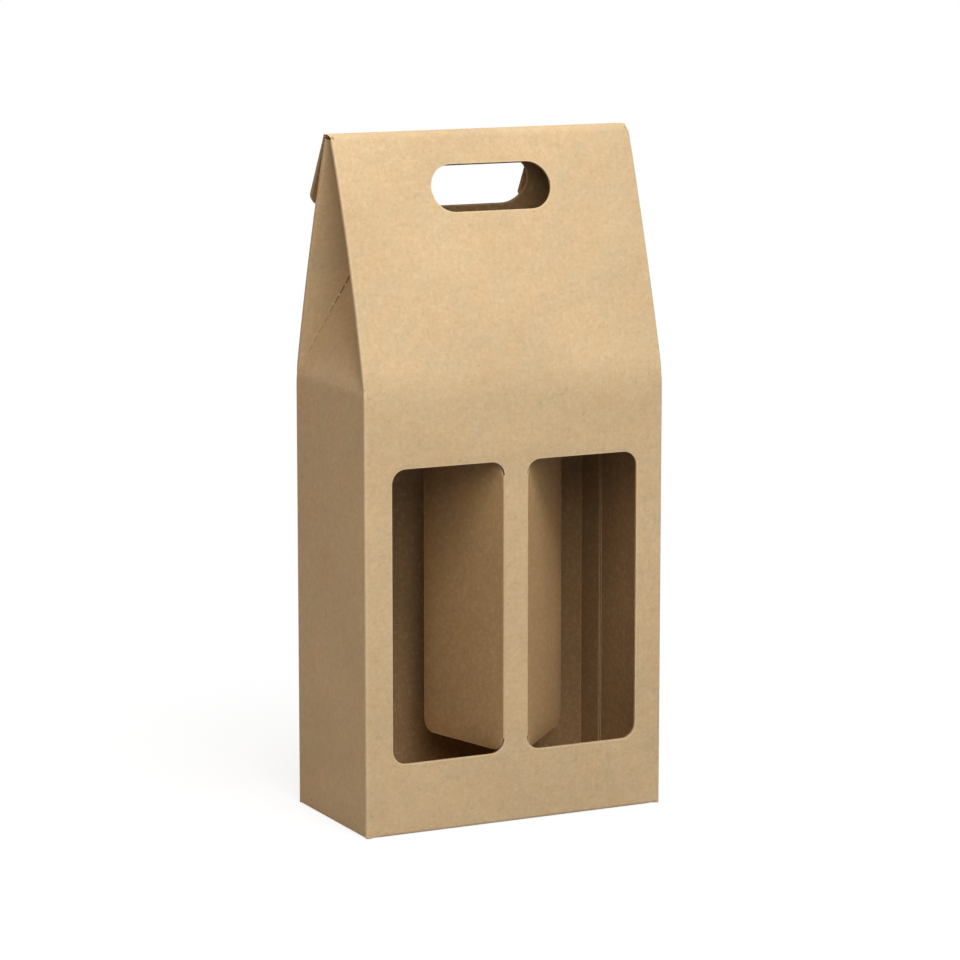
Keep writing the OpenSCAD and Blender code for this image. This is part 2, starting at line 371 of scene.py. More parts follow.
def roofCurve(share, inset, bow):
    # Depth and height of a leaning panel's outer face, or of what lies further in by inset
    swell = 4 * bow * share * (1 - share)
    turn = lean * np.clip(share / 0.07, 0, 1)
    deep = halfDepth + (carton["ridgeHalf"] - halfDepth) * share + swell * math.cos(lean) - inset * np.cos(turn)
    high = wallHeight + roofHeight * share + swell * math.sin(lean) - inset * np.sin(turn)
    return deep, high


def bowAt(x, ends):
    return ends[0] + (ends[1] - ends[0]) * (x + halfWidth) / (2 * halfWidth)


def foldGusset(side, aside, up):
    # Place of a point of a side panel above the shoulder. aside is from the panel's front crease.
    facing = np.where(aside <= halfDepth, -1.0, 1.0)
    near = np.where(aside <= halfDepth, aside, 2 * halfDepth - aside)
    end = 0 if side < 0 else 1
    bow = np.where(facing < 0, carton["bowFront"][end], carton["bowBack"][end])
    hem, meet, rise = gusset["hem"], gusset["foldMeet"], gusset["foldRise"]
    apex = np.array([halfWidth - gusset["apexIn"], 0.0, wallHeight + gusset["apexRise"]])
    tip = np.array([halfWidth - gusset["tipIn"], 0.0, ridgeTop - carton["freeEdgeDrop"]])

    share = up / roofLength
    deep, high = roofCurve(share, near, bow)
    hemPlace = np.stack([np.full_like(up, halfWidth), facing * deep, high], 1)

    t = up / rise
    slope = np.stack([halfWidth - gusset["apexIn"] * t, aside - halfDepth, wallHeight + gusset["apexRise"] * t], 1)

    reach = np.clip((meet - near) / (meet - hem), 1e-6, 1)
    hit = rise + (up - rise) / reach
    deep, high = roofCurve(np.clip(hit, 0, freeLength) / roofLength, hem, bow)
    edge = np.stack([np.full_like(up, halfWidth), facing * deep, high], 1)
    fan = apex + reach[:, None] * (edge - apex)

    deep, high = roofCurve(np.full_like(up, freeShare), hem, bow)
    corner = np.stack([np.full_like(up, halfWidth), facing * deep, high], 1)
    climb = ((up - rise) / (freeLength - rise))[:, None]
    top = reach[:, None] * corner + (climb - reach[:, None]) * tip + (1 - climb) * apex

    place = np.where((hit > freeLength)[:, None], top, fan)
    onSlope = up <= rise * (near - hem) / (meet - hem)
    place = np.where(onSlope[:, None], slope, place)
    place = np.where((near <= hem)[:, None], hemPlace, place)
    place[:, 0] *= side
    return place


def foldCarton(spots):
    # Place on the folded carrier of each point of the flat sheet, with sharp folds
    u, v = spots[:, 0], spots[:, 1]
    u = np.where(u > rightEnd + 1e-9, u - girth, u)  # past the right side the back wall comes again
    u = np.where((u < farEnd - 1e-9) & (v > wallHeight), u + girth, u)
    onBack = u < backCorner
    onLeft = (u >= backCorner) & (u < -halfWidth)
    onRight = u > halfWidth
    walls = [onBack, onLeft, onRight]
    same = np.ones(len(u))
    x = np.select(walls, [backCorner - halfWidth - u, -halfWidth * same, halfWidth * same], u)
    y = np.select(walls, [halfDepth * same, -halfDepth - halfWidth - u, u - halfWidth - halfDepth], -halfDepth)
    outX = np.select(walls, [0 * same, -same, same], 0.0)
    outY = np.select(walls, [same, 0 * same, 0 * same], -1.0)
    place = np.stack([x, y, v], 1)

    for which, names in ((onBack, "back"), (onLeft | onRight, "side"), (~(onBack | onLeft | onRight), "front")):
        below = which & (v < 0)
        way = np.array(bottomFlaps[names]["rise"], float)
        inset = np.interp(-v[below], way[:, 0], way[:, 1])
        place[below, 0] = x[below] - outX[below] * inset
        place[below, 1] = y[below] - outY[below] * inset
        place[below, 2] = np.interp(-v[below], way[:, 0], way[:, 2])

    above = v > wallHeight
    up = v - wallHeight
    for which, sign, ends in ((onBack, 1, "bowBack"), (~(onBack | onLeft | onRight), -1, "bowFront")):
        leaning = above & which
        deep, high = roofCurve(np.clip(up[leaning] / roofLength, 0, 1), 0.0, bowAt(x[leaning], carton[ends]))
        place[leaning, 1], place[leaning, 2] = sign * deep, high
    onStrip = above & (up > roofLength)
    place[onStrip, 1] = -carton["ridgeHalf"] + (up[onStrip] - roofLength)
    for which, side, aside in ((onLeft, -1, -halfWidth - u), (onRight, 1, u - halfWidth)):
        ends = above & which
        if ends.any():
            place[ends] = foldGusset(side, aside[ends], up[ends])

    onGlue = (u < seamLine) & ~above & (v >= 0)
    place[onGlue, 0] = halfWidth - board
    place[onGlue, 1] = halfDepth - (seamLine - u[onGlue])
    return place


# Outlines in the flat sheet

def arcPoints(centre, radius, start, end, steps):
    angles = np.radians(np.linspace(start, end, steps + 1))
    return [(centre[0] + radius * math.cos(a), centre[1] + radius * math.sin(a)) for a in angles]


def roundedBox(left, right, foot, head, radius, steps=9):
    points = []
    for x, z, start in ((right - radius, head - radius, 0), (left + radius, head - radius, 90),
                        (left + radius, foot + radius, 180), (right - radius, foot + radius, 270)):
        points += arcPoints((x, z), radius, start, start + 90, steps)
    return points


def windowOutline(side, grow=0.0):
    near, far = pillarEdge - grow, window["pillar"] / 2 + window["width"] + grow
    left, right = (near, far) if side > 0 else (-far, -near)
    return roundedBox(left, right, window["foot"] - grow, window["foot"] + window["height"] + grow,
                      window["radius"] + grow)


def slotOutline(middle, grow=0.0):
    height = handSlot["height"] + 2 * grow
    centre = wallHeight + roofLength - handSlot["drop"] - handSlot["height"] / 2
    half = handSlot["length"] / 2 + grow
    return roundedBox(middle - half, middle + half, centre - height / 2, centre + height / 2, height / 2 - 0.001, 14)


def flapOutline(left, right, reach, side, taper):
    low = -reach
    return [(left + side, 0.0), (right - side, 0.0), (right - side - taper / 2, low + taper),
            (right - side - taper, low), (left + side + taper, low), (left + side + taper / 2, low + taper)]


def inPolygon(spots, polygon):
    inside = np.zeros(len(spots), bool)
    x, y = spots[:, 0], spots[:, 1]
    for (x0, y0), (x1, y1) in zip(polygon, polygon[1:] + polygon[:1]):
        if y0 != y1:
            crosses = (y0 > y) != (y1 > y)
            inside ^= crosses & (x < (x1 - x0) * (y - y0) / (y1 - y0) + x0)
    return inside


def closed(points):
    return list(zip(points, points[1:] + points[:1]))


def cutCells(regions, holes, lines):
    # Cells that the lines cut the regions into, less the holes: flat points and counter-clockwise faces
    corners, ends = [], []
    for start, end in [pair for shape in regions + holes for pair in closed(shape)] + lines:
        ends.append((len(corners), len(corners) + 1))
        corners += [Vector(start), Vector(end)]
    found = geometry.delaunay_2d_cdt(corners, ends, [], 4, 1e-4)
    spots = np.array([tuple(point) for point in found[0]], float)
    faces = [list(face) for face in found[2]]
    probes = []
    for number, face in enumerate(faces):
        loop = spots[face]
        turned = loop[:, 0] @ np.roll(loop[:, 1], -1) - loop[:, 1] @ np.roll(loop[:, 0], -1)
        if turned < 0:
            faces[number] = face[::-1]
            loop = loop[::-1]
        steps = np.roll(loop, -1, 0) - loop
        longest = np.argmax((steps ** 2).sum(1))
        step = steps[longest] / np.linalg.norm(steps[longest])
        probes.append(loop[longest] + steps[longest] / 2 + 2e-3 * np.array([-step[1], step[0]]))
    probes = np.array(probes)
    kept = np.zeros(len(faces), bool)
    for region in regions:
        kept |= inPolygon(probes, region)
    for hole in holes:
        kept &= ~inPolygon(probes, hole)
    faces = [face for face, keep in zip(faces, kept) if keep]
    used = sorted({corner for face in faces for corner in face})
    order = {corner: place for place, corner in enumerate(used)}
    return spots[used], [[order[corner] for corner in face] for face in faces]


def rows(middle, distances):
    return [middle + sign * d for d in distances for sign in (-1, 1)] + [middle]


def spread(low, high, step):
    count = max(1, round((high - low) / step))
    return [low + (high - low) * i / count for i in range(1, count)]


def upright(u, low, high):
    return ((u, low), (u, high))


def level(v, left, right):
    return ((left, v), (right, v))


foldRows = [0.4, 0.8, 1.2, 1.6, 2.4]
shoulderRows = [1.0, 2.0, 3.0, 4.0, 5.5, 7.0, 8.5, 10.0]
hemRows = [0.4, 0.8, 1.2, 1.5, 1.8, 2.2, 2.6, 3.0, 3.4, 3.8, 4.2, 4.6, 5.4]


def cartonLines():
    deepest, highest = -90.0, wallHeight + roofLength + stripLength
    eaves = wallHeight + freeLength
    lines = []
    for middle in (backCorner, -halfWidth, halfWidth):
        lines += [upright(u, deepest, wallHeight) for u in rows(middle, foldRows)]
    lines += [upright(u, deepest, wallHeight) for u in rows(seamLine, foldRows)]
    lines += [upright(rightEnd - d, 0, wallHeight) for d in (0.45, cutEdge["crushReach"])]
    for start in (halfWidth, -rightEnd):
        for d in hemRows:
            lines += [upright(start + d, wallHeight, eaves), upright(start + 2 * halfDepth - d, wallHeight, eaves)]
        middle = start + halfDepth
        lines += [upright(u, wallHeight + gusset["foldRise"], eaves) for u in rows(middle, foldRows[:4])]
        for mirror in (-1, 1):
            foot = np.array([middle + mirror * (halfDepth - gusset["hem"]), wallHeight])
            peak = np.array([middle, wallHeight + gusset["foldRise"]])
            way = (peak - foot) / np.linalg.norm(peak - foot)
            beside = np.array([-way[1], way[0]])
            for d in rows(0.0, [0.4, 0.8, 1.3, 2.0]):
                lines.append((tuple(foot + beside * d), tuple(peak + beside * d)))
            lines.append((tuple(peak), (middle + mirror * (halfDepth - gusset["hem"]), eaves)))
    for edge in (-halfWidth, halfWidth, backCorner, farEnd):
        lines += [upright(u, wallHeight, highest) for u in rows(edge, foldRows) if u != edge]
    for low, high in ((seamLine, backCorner), (backCorner, -halfWidth), (-halfWidth, halfWidth), (halfWidth, rightEnd)):
        lines += [upright(u, deepest, highest) for u in spread(low, high, carton["grid"])]
    whole = (farEnd - 30, rightEnd)
    for v in rows(0.0, [0.4, 0.8, 1.2, 1.7, 2.2, 3.0]) + rows(wallHeight, shoulderRows):
        lines.append(level(v, *whole))
    for v in rows(-3.9, [0.5, 1.0]) + rows(-6.1, [0.5, 1.0]):
        lines.append(level(v, *whole))
    ridge = wallHeight + roofLength
    for v in rows(ridge, [0.6, 1.2, 1.8, 2.6, 3.5, 4.5]):
        lines.append(level(v, -halfWidth, halfWidth))
    for v in (eaves, eaves - cutEdge["crushReach"]):
        lines.append(level(v, *whole))
    for low, high in ((deepest, -7.5), (3, wallHeight - 10), (wallHeight + 10, eaves - 2)):
        lines += [level(v, *whole) for v in spread(low, high, carton["grid"])]
    reach = cutEdge["crushReach"]
    for side in (-1, 1):
        lines += closed(windowOutline(side, reach))
    for middle in (0.0, farEnd + halfWidth):
        lines += closed(slotOutline(middle, reach))
    return lines


def cartonRegions():
    eaves = wallHeight + freeLength
    top = wallHeight + roofLength + stripLength

    def box(left, right, low, high):
        return [(left, low), (right, low), (right, high), (left, high)]
    taper = bottomFlaps["taper"]
    glueLeft = seamLine - glueFlap["width"]
    flaps = [flapOutline(left, right, bottomFlaps[name]["reach"], bottomFlaps[name]["side"], taper)
             for left, right, name in ((seamLine - board, backCorner, "back"), (backCorner, -halfWidth, "side"),
                                       (-halfWidth, halfWidth, "front"), (halfWidth, rightEnd, "side"))]
    glue = [(seamLine, 6.0), (seamLine, wallHeight - board), (glueLeft, wallHeight - board - glueFlap["taper"]),
            (glueLeft, 6.0 + glueFlap["taper"])]
    return [box(seamLine, rightEnd, 0, wallHeight), box(farEnd, backCorner, wallHeight, eaves),
            box(backCorner, -halfWidth, wallHeight, eaves), box(-halfWidth, halfWidth, wallHeight, top),
            box(halfWidth, rightEnd, wallHeight, eaves), glue] + flaps


def cartonCreases():
    # Each fold's two ends in the flat sheet, the reach of its rounding, and how little it is worn and lit pale (real
    # wear, partly a painted highlight)
    eaves, ridge = wallHeight + freeLength, wallHeight + roofLength
    fold, soft, hem = carton["cornerFold"], carton["shoulderFold"], gusset["hem"]
    found = [((u, 0), (u, wallHeight), fold, 0.0) for u in (backCorner, -halfWidth, halfWidth)]
    found.append(((seamLine, 6.0), (seamLine, wallHeight - board), fold, 0.3))
    for left, right, name in ((seamLine, backCorner, "back"), (backCorner, -halfWidth, "side"),
                              (-halfWidth, halfWidth, "front"), (halfWidth, rightEnd, "side")):
        side = bottomFlaps[name]["side"]
        found.append(((left + side, 0), (right - side, 0), fold, 0.6))
        for step in bottomFlaps[name]["rise"][1:-1]:
            if step[0] > 2:
                found.append(((left + side, -step[0]), (right - side, -step[0]), 1.0, 9.0))
    for left in (farEnd, -halfWidth, rightEnd):
        found.append(((left, wallHeight), (left + 2 * halfWidth, wallHeight), soft, 9.0))
    found.append(((-halfWidth, ridge), (halfWidth, ridge), carton["ridgeFold"], 1.0))
    for start in (-rightEnd, halfWidth):
        end, middle = start + 2 * halfDepth, start + halfDepth
        found.append(((start + hem, wallHeight), (end - hem, wallHeight), carton["gussetFold"], 0.9))
        for u in (start + hem, end - hem):
            found.append(((u, wallHeight), (u, eaves), 1.5, 0.9))
        peak = (middle, wallHeight + gusset["foldRise"])
        for u in (start + hem, end - hem):
            found.append(((u, wallHeight), peak, 1.3, 1.4))
        found.append((peak, (middle, eaves), 1.2, 9.0))
    for u in (farEnd, -rightEnd, -halfWidth, halfWidth, rightEnd):
        found.append(((u, wallHeight), (u, eaves), 1.5, 0.2))
    return found


def foldDirections(fold, start, end, share, spots):
    # Directions away from a fold into the sheet, on each side of it, and the one on each point's own side
    start, end = np.array(start, float), np.array(end, float)
    way = (end - start) / np.linalg.norm(end - start)
    beside = np.array([-way[1], way[0]])
    spot = start + np.clip(share, 0.004, 0.996)[:, None] * (end - start)
    tiny = 0.02
    directions = []
    for sign in (-1, 1):
        step = fold(spot + sign * 2 * tiny * beside) - fold(spot + sign * tiny * beside)
        directions.append(step / np.maximum(np.linalg.norm(step, axis=1), 1e-9)[:, None])
    own = np.where((((spots - start) @ beside) > 0)[:, None], directions[1], directions[0])
    return directions, own


def thicken(spots, faces, fold, creases, dents, seam=None):
    # Outer and inner surface of the folded board, with rounded folds, for each flat point
    flat = fold(spots)
    normalSum = np.zeros((len(spots), 3, 3))
    normalTotal = np.zeros((len(spots), 3))
    twins = seam if seam is not None else np.arange(len(spots))
    for face in faces:
        loop = flat[face]
        normal = np.cross(loop, np.roll(loop, -1, 0)).sum(0)
        size = np.linalg.norm(normal)
        if size < 1e-9:
            continue
        normal /= size
        for corner in twins[face]:
            normalSum[corner] += np.outer(normal, normal)
            normalTotal[corner] += normal
    weight = np.maximum(np.trace(normalSum, axis1=1, axis2=2), 1e-9)
    inverse = np.linalg.pinv(normalSum / weight[:, None, None], rcond=0.012, hermitian=True)
    offset = -board * np.einsum("nij,nj->ni", inverse, normalTotal / weight[:, None])
    offset = offset[twins]
    outer, inner = flat.copy(), flat.copy()
    reach, flatTurn = carton["miter"], carton["flatTurn"]
    nearFold = np.full(len(spots), 9.0)
    for start, end, radius, wearAndHighlightOffset in creases:
        a, b = np.array(start, float), np.array(end, float)
        share = np.clip(((spots - a) @ (b - a)) / ((b - a) @ (b - a)), 0, 1)
        away = np.linalg.norm(spots - (a + share[:, None] * (b - a)), axis=1)
        nearFold = np.minimum(nearFold, away + wearAndHighlightOffset)
        close = np.flatnonzero(away < max(reach, radius))
        if not len(close):
            continue
        (left, right), own = foldDirections(fold, start, end, share[close], spots[close])
        opening = left + right
        distance = away[close]
        cosine = np.clip((left * right).sum(1), -1, 1)  # -1 where the sheet is flat
        turned = math.pi - np.arccos(cosine)
        outward = -offset[close]
        hollow = (opening * outward).sum(1) > 0
        flatFold = hollow & (turned > flatTurn)
        soft = (radius / 4 * np.clip(1 - distance / radius, 0, 1) ** 2)[:, None] * opening
        outer[close] += soft
        innerRadius = np.where(hollow, carton["insideHollow"], carton["insideFold"])
        rounding = innerRadius / 4 * np.clip(1 - distance / innerRadius, 0, 1) ** 2
        inner[close] += rounding[:, None] * opening * ~flatFold[:, None]
        miter = np.minimum(board * np.tan(np.minimum(turned, flatTurn) / 2), board * 0.97) * ~hollow
        shift = miter * np.clip(1 - distance / reach, 0, 1) * (distance > 1e-3)
        inner[close] += shift[:, None] * own
        folded = close[flatFold & (distance < 1e-3)]
        if len(folded):
            back = -opening[flatFold & (distance < 1e-3)]
            offset[folded] = board * back / np.maximum(np.linalg.norm(back, axis=1), 1e-9)[:, None]
    inner += offset
    for middle, radius, push in dents:
        depth = np.clip(1 - np.linalg.norm(spots - middle, axis=1) / radius, 0, 1) ** 2
        outer, inner = outer + depth[:, None] * push, inner + depth[:, None] * push
    if seam is not None:
        outer, inner = outer[twins], inner[twins]
    return outer, inner, nearFold


def seamTwins(spots):
    # The right side's gusset and the back panel's end are one fold, so their points are one
    twins = np.arange(len(spots))
    high = {}
    for number, (u, v) in enumerate(spots):
        if abs(u - farEnd) < 1e-3 and v > wallHeight - 1e-3:
            high[round(v, 2)] = number
    for number, (u, v) in enumerate(spots):
        if abs(u - rightEnd) < 1e-3 and v > wallHeight - 1e-3 and round(v, 2) in high:
            twins[number] = high[round(v, 2)]
    return twins


class SheetMesh:
    # Gathers points, faces, materials and the flat coordinates of one piece of board
    def __init__(self):
        self.points, self.blank, self.faces, self.kinds = [], [], [], []

    def add(self, points, blank):
        first = len(self.points)
        self.points += [tuple(point) for point in points]
        self.blank += [tuple(spot) for spot in blank]
        return list(range(first, len(self.points)))

    def face(self, corners, kind):
        kept = [corner for place, corner in enumerate(corners) if corner != corners[place - 1]]
        if len(kept) > 2:
            self.faces.append(kept)
            self.kinds.append(kind)

    def make(self, name, materials, nearFold=None, nearCut=None):
        mesh = bpy.data.meshes.new(name)
        mesh.from_pydata((np.array(self.points) * metre).tolist(), [], self.faces)
        for material in materials:
            mesh.materials.append(material)
        mesh.polygons.foreach_set("material_index", self.kinds)
        mesh.polygons.foreach_set("use_smooth", [True] * len(self.faces))
        blank = mesh.attributes.new("blank", "FLOAT_VECTOR", "POINT")
        blank.data.foreach_set("vector", np.array(self.blank, np.float32).ravel())
        for title, values in (("crease", nearFold), ("cut", nearCut)):
            layer = mesh.attributes.new(title, "FLOAT", "POINT")
            padded = np.full(len(self.points), 0.0 if title == "cut" else 9.0, np.float32)
            if values is not None:
                padded[:len(values)] = values
            layer.data.foreach_set("value", padded)
        mesh.update()
        mesh.set_sharp_from_angle(angle=math.radians(38))
        piece = bpy.data.objects.new(name, mesh)
        bpy.context.scene.collection.objects.link(piece)
        return piece


def borderLoops(faces):
    # Directed border edges, with the sheet on their left
    following = {}
    inside = {(a, b) for face in faces for a, b in zip(face, face[1:] + face[:1])}
    for a, b in inside:
        if (b, a) not in inside:
            following.setdefault(a, []).append(b)
    return [(a, b) for a, ends in following.items() for b in ends]


def buildSheet(name, spots, faces, fold, hingeEdge, hingeBulge, materials, creases=(), dents=(), twins=None):
    outer, inner, nearFold = thicken(spots, faces, fold, creases, dents, twins)
    if twins is not None:
        faces = [[int(twins[corner]) for corner in face] for face in faces]
    edges = borderLoops(faces)
    count = len(spots)

    def flatStep(a, b):  # from one flat point to the next, also where the two ends of the blank meet
        step = spots[b] - spots[a]
        return step - np.array([girth * round(step[0] / girth), 0])

    thick = inner - outer
    size = np.linalg.norm(thick, axis=1)
    inwards = np.zeros((count, 3))
    cutHere = np.zeros(count, bool)
    kinds = {}
    for a, b in edges:
        way = outer[b] - outer[a]
        beside = np.cross(-thick[a] / size[a], way)
        beside /= max(np.linalg.norm(beside), 1e-9)
        inwards[a] += beside
        inwards[b] += beside
        kinds[a, b] = "hinge" if hingeEdge(spots[a] + flatStep(a, b) / 2) else "cut"
        if kinds[a, b] == "cut":
            cutHere[[a, b]] = True
    inwards /= np.maximum(np.linalg.norm(inwards, axis=1), 1e-9)[:, None]

    # Distance of each point from the nearest cut, for the wear there
    nearCut = np.full(count, 9.0)
    for a, b in edges:
        if kinds[a, b] == "cut":
            step = flatStep(a, b)
            length = step @ step
            if length < 1e-12:
                continue
            box = np.flatnonzero((abs(spots - spots[a] - step / 2) < 3 + abs(step) / 2).all(1))
            share = np.clip(((spots[box] - spots[a]) @ step) / length, 0, 1)
            gap = np.linalg.norm(spots[box] - (spots[a] + share[:, None] * step), axis=1)
            nearCut[box] = np.minimum(nearCut[box], gap)

    press = np.where(cutHere, cutEdge["crush"], 0.0) / np.maximum(size, 1e-9)
    outer, inner = outer + press[:, None] * thick, inner - press[:, None] * thick

    sheet = SheetMesh()
    sheet.add(outer, np.column_stack([spots, np.zeros(count)]))
    sheet.add(inner, np.column_stack([spots, np.full(count, 40.0)]))
    for face in faces:
        sheet.face(face, 0)
        sheet.face([corner + count for corner in reversed(face)], 1)

    def profile(corner, kind):
        a, b = outer[corner], inner[corner]
        if kind == "cut":
            shares = [cutEdge["liner"]] * 2 + [1 - cutEdge["liner"]] * 2
            depths = [0, cutEdge["depth"], cutEdge["depth"], 0]
        else:
            shares = [0.06, 0.18, 0.34, 0.5, 0.66, 0.82, 0.94]
            depths = [hingeBulge((share - 0.5) * board) for share in shares]
        points = [a + share * (b - a) + depth * inwards[corner] for share, depth in zip(shares, depths)]
        spot = spots[corner]
        return sheet.add(points, [(spot[0], spot[1], 10.0 + 20.0 * share) for share in shares])

    made = {}
    for (a, b), kind in kinds.items():
        for corner in (a, b):
            if (corner, kind) not in made:
                made[corner, kind] = profile(corner, kind)
        left = [a] + made[a, kind] + [a + count]
        right = [b] + made[b, kind] + [b + count]
        for step in range(len(left) - 1):
            groove = kind == "cut" and 0 < step < len(left) - 2
            material = 3 if groove else 2
            if kind == "hinge":
                material = 0 if step < len(left) / 2 else 1
            sheet.face([right[step], left[step], left[step + 1], right[step + 1]], material)
    for corner in sorted({corner for corner, kind in made if (corner, "cut") in made and (corner, "hinge") in made}):
        ring = [corner] + made[corner, "cut"] + [corner + count] + made[corner, "hinge"][::-1]
        leaves = any(a == corner and kinds[a, b] == "hinge" for a, b in kinds)
        sheet.face(ring if leaves else ring[::-1], 2)
    piece = sheet.make(name, materials, np.concatenate([nearFold, nearFold]), np.concatenate([nearCut, nearCut]))

    flutes = SheetMesh()
    liner, half = cutEdge["liner"], cutEdge["medium"]
    swing = 0.5 - liner - half
    turning = spots[[corner for corner, kind in made if kind == "hinge"]]
    for (a, b), kind in kinds.items():
        if kind != "cut" or np.linalg.norm(turning - spots[a], axis=1).min() < cutEdge["clearOfHinge"]:
            continue
        length = np.linalg.norm(outer[b] - outer[a])
        steps = max(1, math.ceil(abs(flatStep(a, b)[0]) / 0.4), math.ceil(length / 12))
        share = np.linspace(0, 1, steps + 1)[:, None]
        flat = spots[a] + share * flatStep(a, b)
        top = outer[a] + share * (outer[b] - outer[a])
        through = (inner[a] - outer[a]) + share * ((inner[b] - outer[b]) - (inner[a] - outer[a]))
        deep = inwards[a] + share * (inwards[b] - inwards[a])
        wave = 0.5 + swing * np.sin(2 * math.pi * flat[:, :1] / kraftLook["flutePitch"])
        blank = np.column_stack([flat, 20 + 10 * wave])
        ribs = [flutes.add(top + (wave + side) * through + depth * deep, blank)
                for side, depth in ((-half, cutEdge["depth"]), (-half, 0.07), (half, 0.07), (half, cutEdge["depth"]))]
        for step in range(steps):
            for one, two in ((0, 1), (1, 2), (2, 3)):
                flutes.face([ribs[one][step + 1], ribs[one][step], ribs[two][step], ribs[two][step + 1]], 0)
    edgePiece = flutes.make(name + "_flutes", [materials[3]])
    edgePiece.parent = piece
    return piece


# The three flaps that swing

windowFlap = {"gap": 0.4, "relief": 0.5}

closingFlap = {
    "length": 45.0,
    "hang": 29.5,  # from the vertical
    "corner": 8.0,
    "notch": 74.0,
    "notchDrop": 22.6,
    "notchCorner": 3.0,
}


def cupBulge(across):  # a panel's edge is hollow where a flap's round edge turns in it
    return math.sqrt(hingeCup ** 2 - across ** 2) - lip


def beadBulge(across):
    return -math.sqrt(max((board / 2) ** 2 - across ** 2, 0))


def makeCarton(materials):
    holes = [windowOutline(-1), windowOutline(1), slotOutline(0.0), slotOutline(farEnd + halfWidth)]
    spots, faces = cutCells(cartonRegions(), holes, cartonLines())
    print("carton sheet:", len(spots), "points,", len(faces), "cells")
    foot, head = window["foot"] + window["radius"], window["foot"] + window["height"] - window["radius"]
    top = wallHeight + roofLength + stripLength

    def hingeEdge(spot):
        onPillar = abs(abs(spot[0]) - pillarEdge) < 1e-3 and foot - 1e-3 < spot[1] < head + 1e-3
        return onPillar or abs(spot[1] - top) < 1e-3
    reach, push = carton["crushedCorner"]
    dents = [(np.array([halfWidth, wallHeight + roofLength]), reach, np.array(push))]
    piece = buildSheet("carton_sheet", spots, faces, foldCarton, hingeEdge, cupBulge, materials, cartonCreases(),
                       dents, seamTwins(spots))
    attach(piece, "carton")
    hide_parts("carton")


def makeWindowFlap(side, body, axis, resting, materials):
    gap, relief = windowFlap["gap"], windowFlap["relief"]
    start, far = abs(axis[0]), window["pillar"] / 2 + window["width"] - gap
    foot, head = window["foot"] + gap, window["foot"] + window["height"] - gap
    radius = window["radius"] - gap
    outline = [(start, head - radius), (start, foot + radius)]
    for x, z, turn in ((start + relief + radius, foot + radius, 180), (far - radius, foot + radius, 270),
                       (far - radius, head - radius, 0), (start + relief + radius, head - radius, 90)):
        outline += arcPoints((x, z), radius, turn, turn + 90, 9)
    inset = cutEdge["crushReach"]
    ring = roundedBox(start + relief + inset, far - inset, foot + inset, head - inset, radius - inset)
    lines = closed(ring) + [upright(u, foot, head) for u in spread(start, far, carton["grid"])]
    lines += [upright(start + d, foot, head) for d in (0.4, 0.9, 1.8)]
    lines += [level(v, start, far) for v in spread(foot, head, carton["grid"])]
    if side < 0:
        outline = [(-u, v) for u, v in reversed(outline)]
        lines = [((-a[0], a[1]), (-b[0], b[1])) for a, b in lines]
    spots, faces = cutCells([outline], [], lines)
    turn = math.radians(resting)
    along = np.array([side * math.cos(turn), math.sin(turn), 0])
    outward = np.array([side * math.sin(turn), -math.cos(turn), 0])

    def fold(flat):
        reach = side * flat[:, :1] - start
        place = np.array([axis[0], axis[1], 0]) + reach * along + board / 2 * outward
        place[:, 2] = flat[:, 1]
        return place

    def hingeEdge(spot):
        return abs(side * spot[0] - start) < 1e-3
    piece = buildSheet(body + "_board", spots, faces, fold, hingeEdge, beadBulge, materials)
    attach(piece, body)
    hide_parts(body)


def makeClosingFlap(materials):
    start = wallHeight + roofLength + carton["ridgeHalf"] + closingAxis[1]
    edge, length, corner = halfWidth - windowFlap["gap"], closingFlap["length"], closingFlap["corner"]
    ear, drop, small = closingFlap["notch"] / 2, closingFlap["notchDrop"], closingFlap["notchCorner"]

    def outlineAt(grow):
        outer, low = corner - grow, start + length - grow
        points = [(-edge + grow, start), (edge - grow, start)]
        points += arcPoints((edge - grow - outer, low - outer), outer, 0, 90, 9)
        points += arcPoints((ear + small + grow, low - small), small, 90, 180, 6)
        points += arcPoints((ear - small + grow, start + drop + small - grow), small, 0, -90, 6)
        points += arcPoints((small - ear - grow, start + drop + small - grow), small, -90, -180, 6)
        points += arcPoints((-ear - small - grow, low - small), small, 0, 90, 6)
        points += arcPoints((-edge + grow + outer, low - outer), outer, 90, 180, 9)
        return points
    lines = [(a, b) for a, b in closed(outlineAt(cutEdge["crushReach"]))[1:]]
    lines += [upright(u, start, start + length) for u in spread(-edge, edge, carton["grid"])]
    lines += [level(start + d, -edge, edge) for d in (0.4, 0.9, 1.8)]
    lines += [level(v, -edge, edge) for v in spread(start, start + length, carton["grid"])]
    spots, faces = cutCells([outlineAt(0.0)], [], lines)
    hang = math.radians(closingFlap["hang"])

    def fold(flat):
        reach = flat[:, 1] - start
        return np.stack([flat[:, 0],
                         closingAxis[1] + reach * math.sin(hang) + board / 2 * math.cos(hang),
                         closingAxis[2] - reach * math.cos(hang) + board / 2 * math.sin(hang)], 1)

    def hingeEdge(spot):
        return abs(spot[1] - start) < 1e-3
    piece = buildSheet("closing_flap_board", spots, faces, fold, hingeEdge, beadBulge, materials)
    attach(piece, "closing_flap")
    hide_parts("closing_flap")


kraftOutside = kraftPaper("kraft liner", kraftLook["outside"], perforated=True)
kraftPlain = kraftPaper("kraft liner of the closing flap", kraftLook["outside"])
# painted shade: a darker copy of the outer liner for the window flaps
kraftShaded = kraftPaper("kraft liner of the window flaps, darkened as painted shade", kraftLook["flaps"])
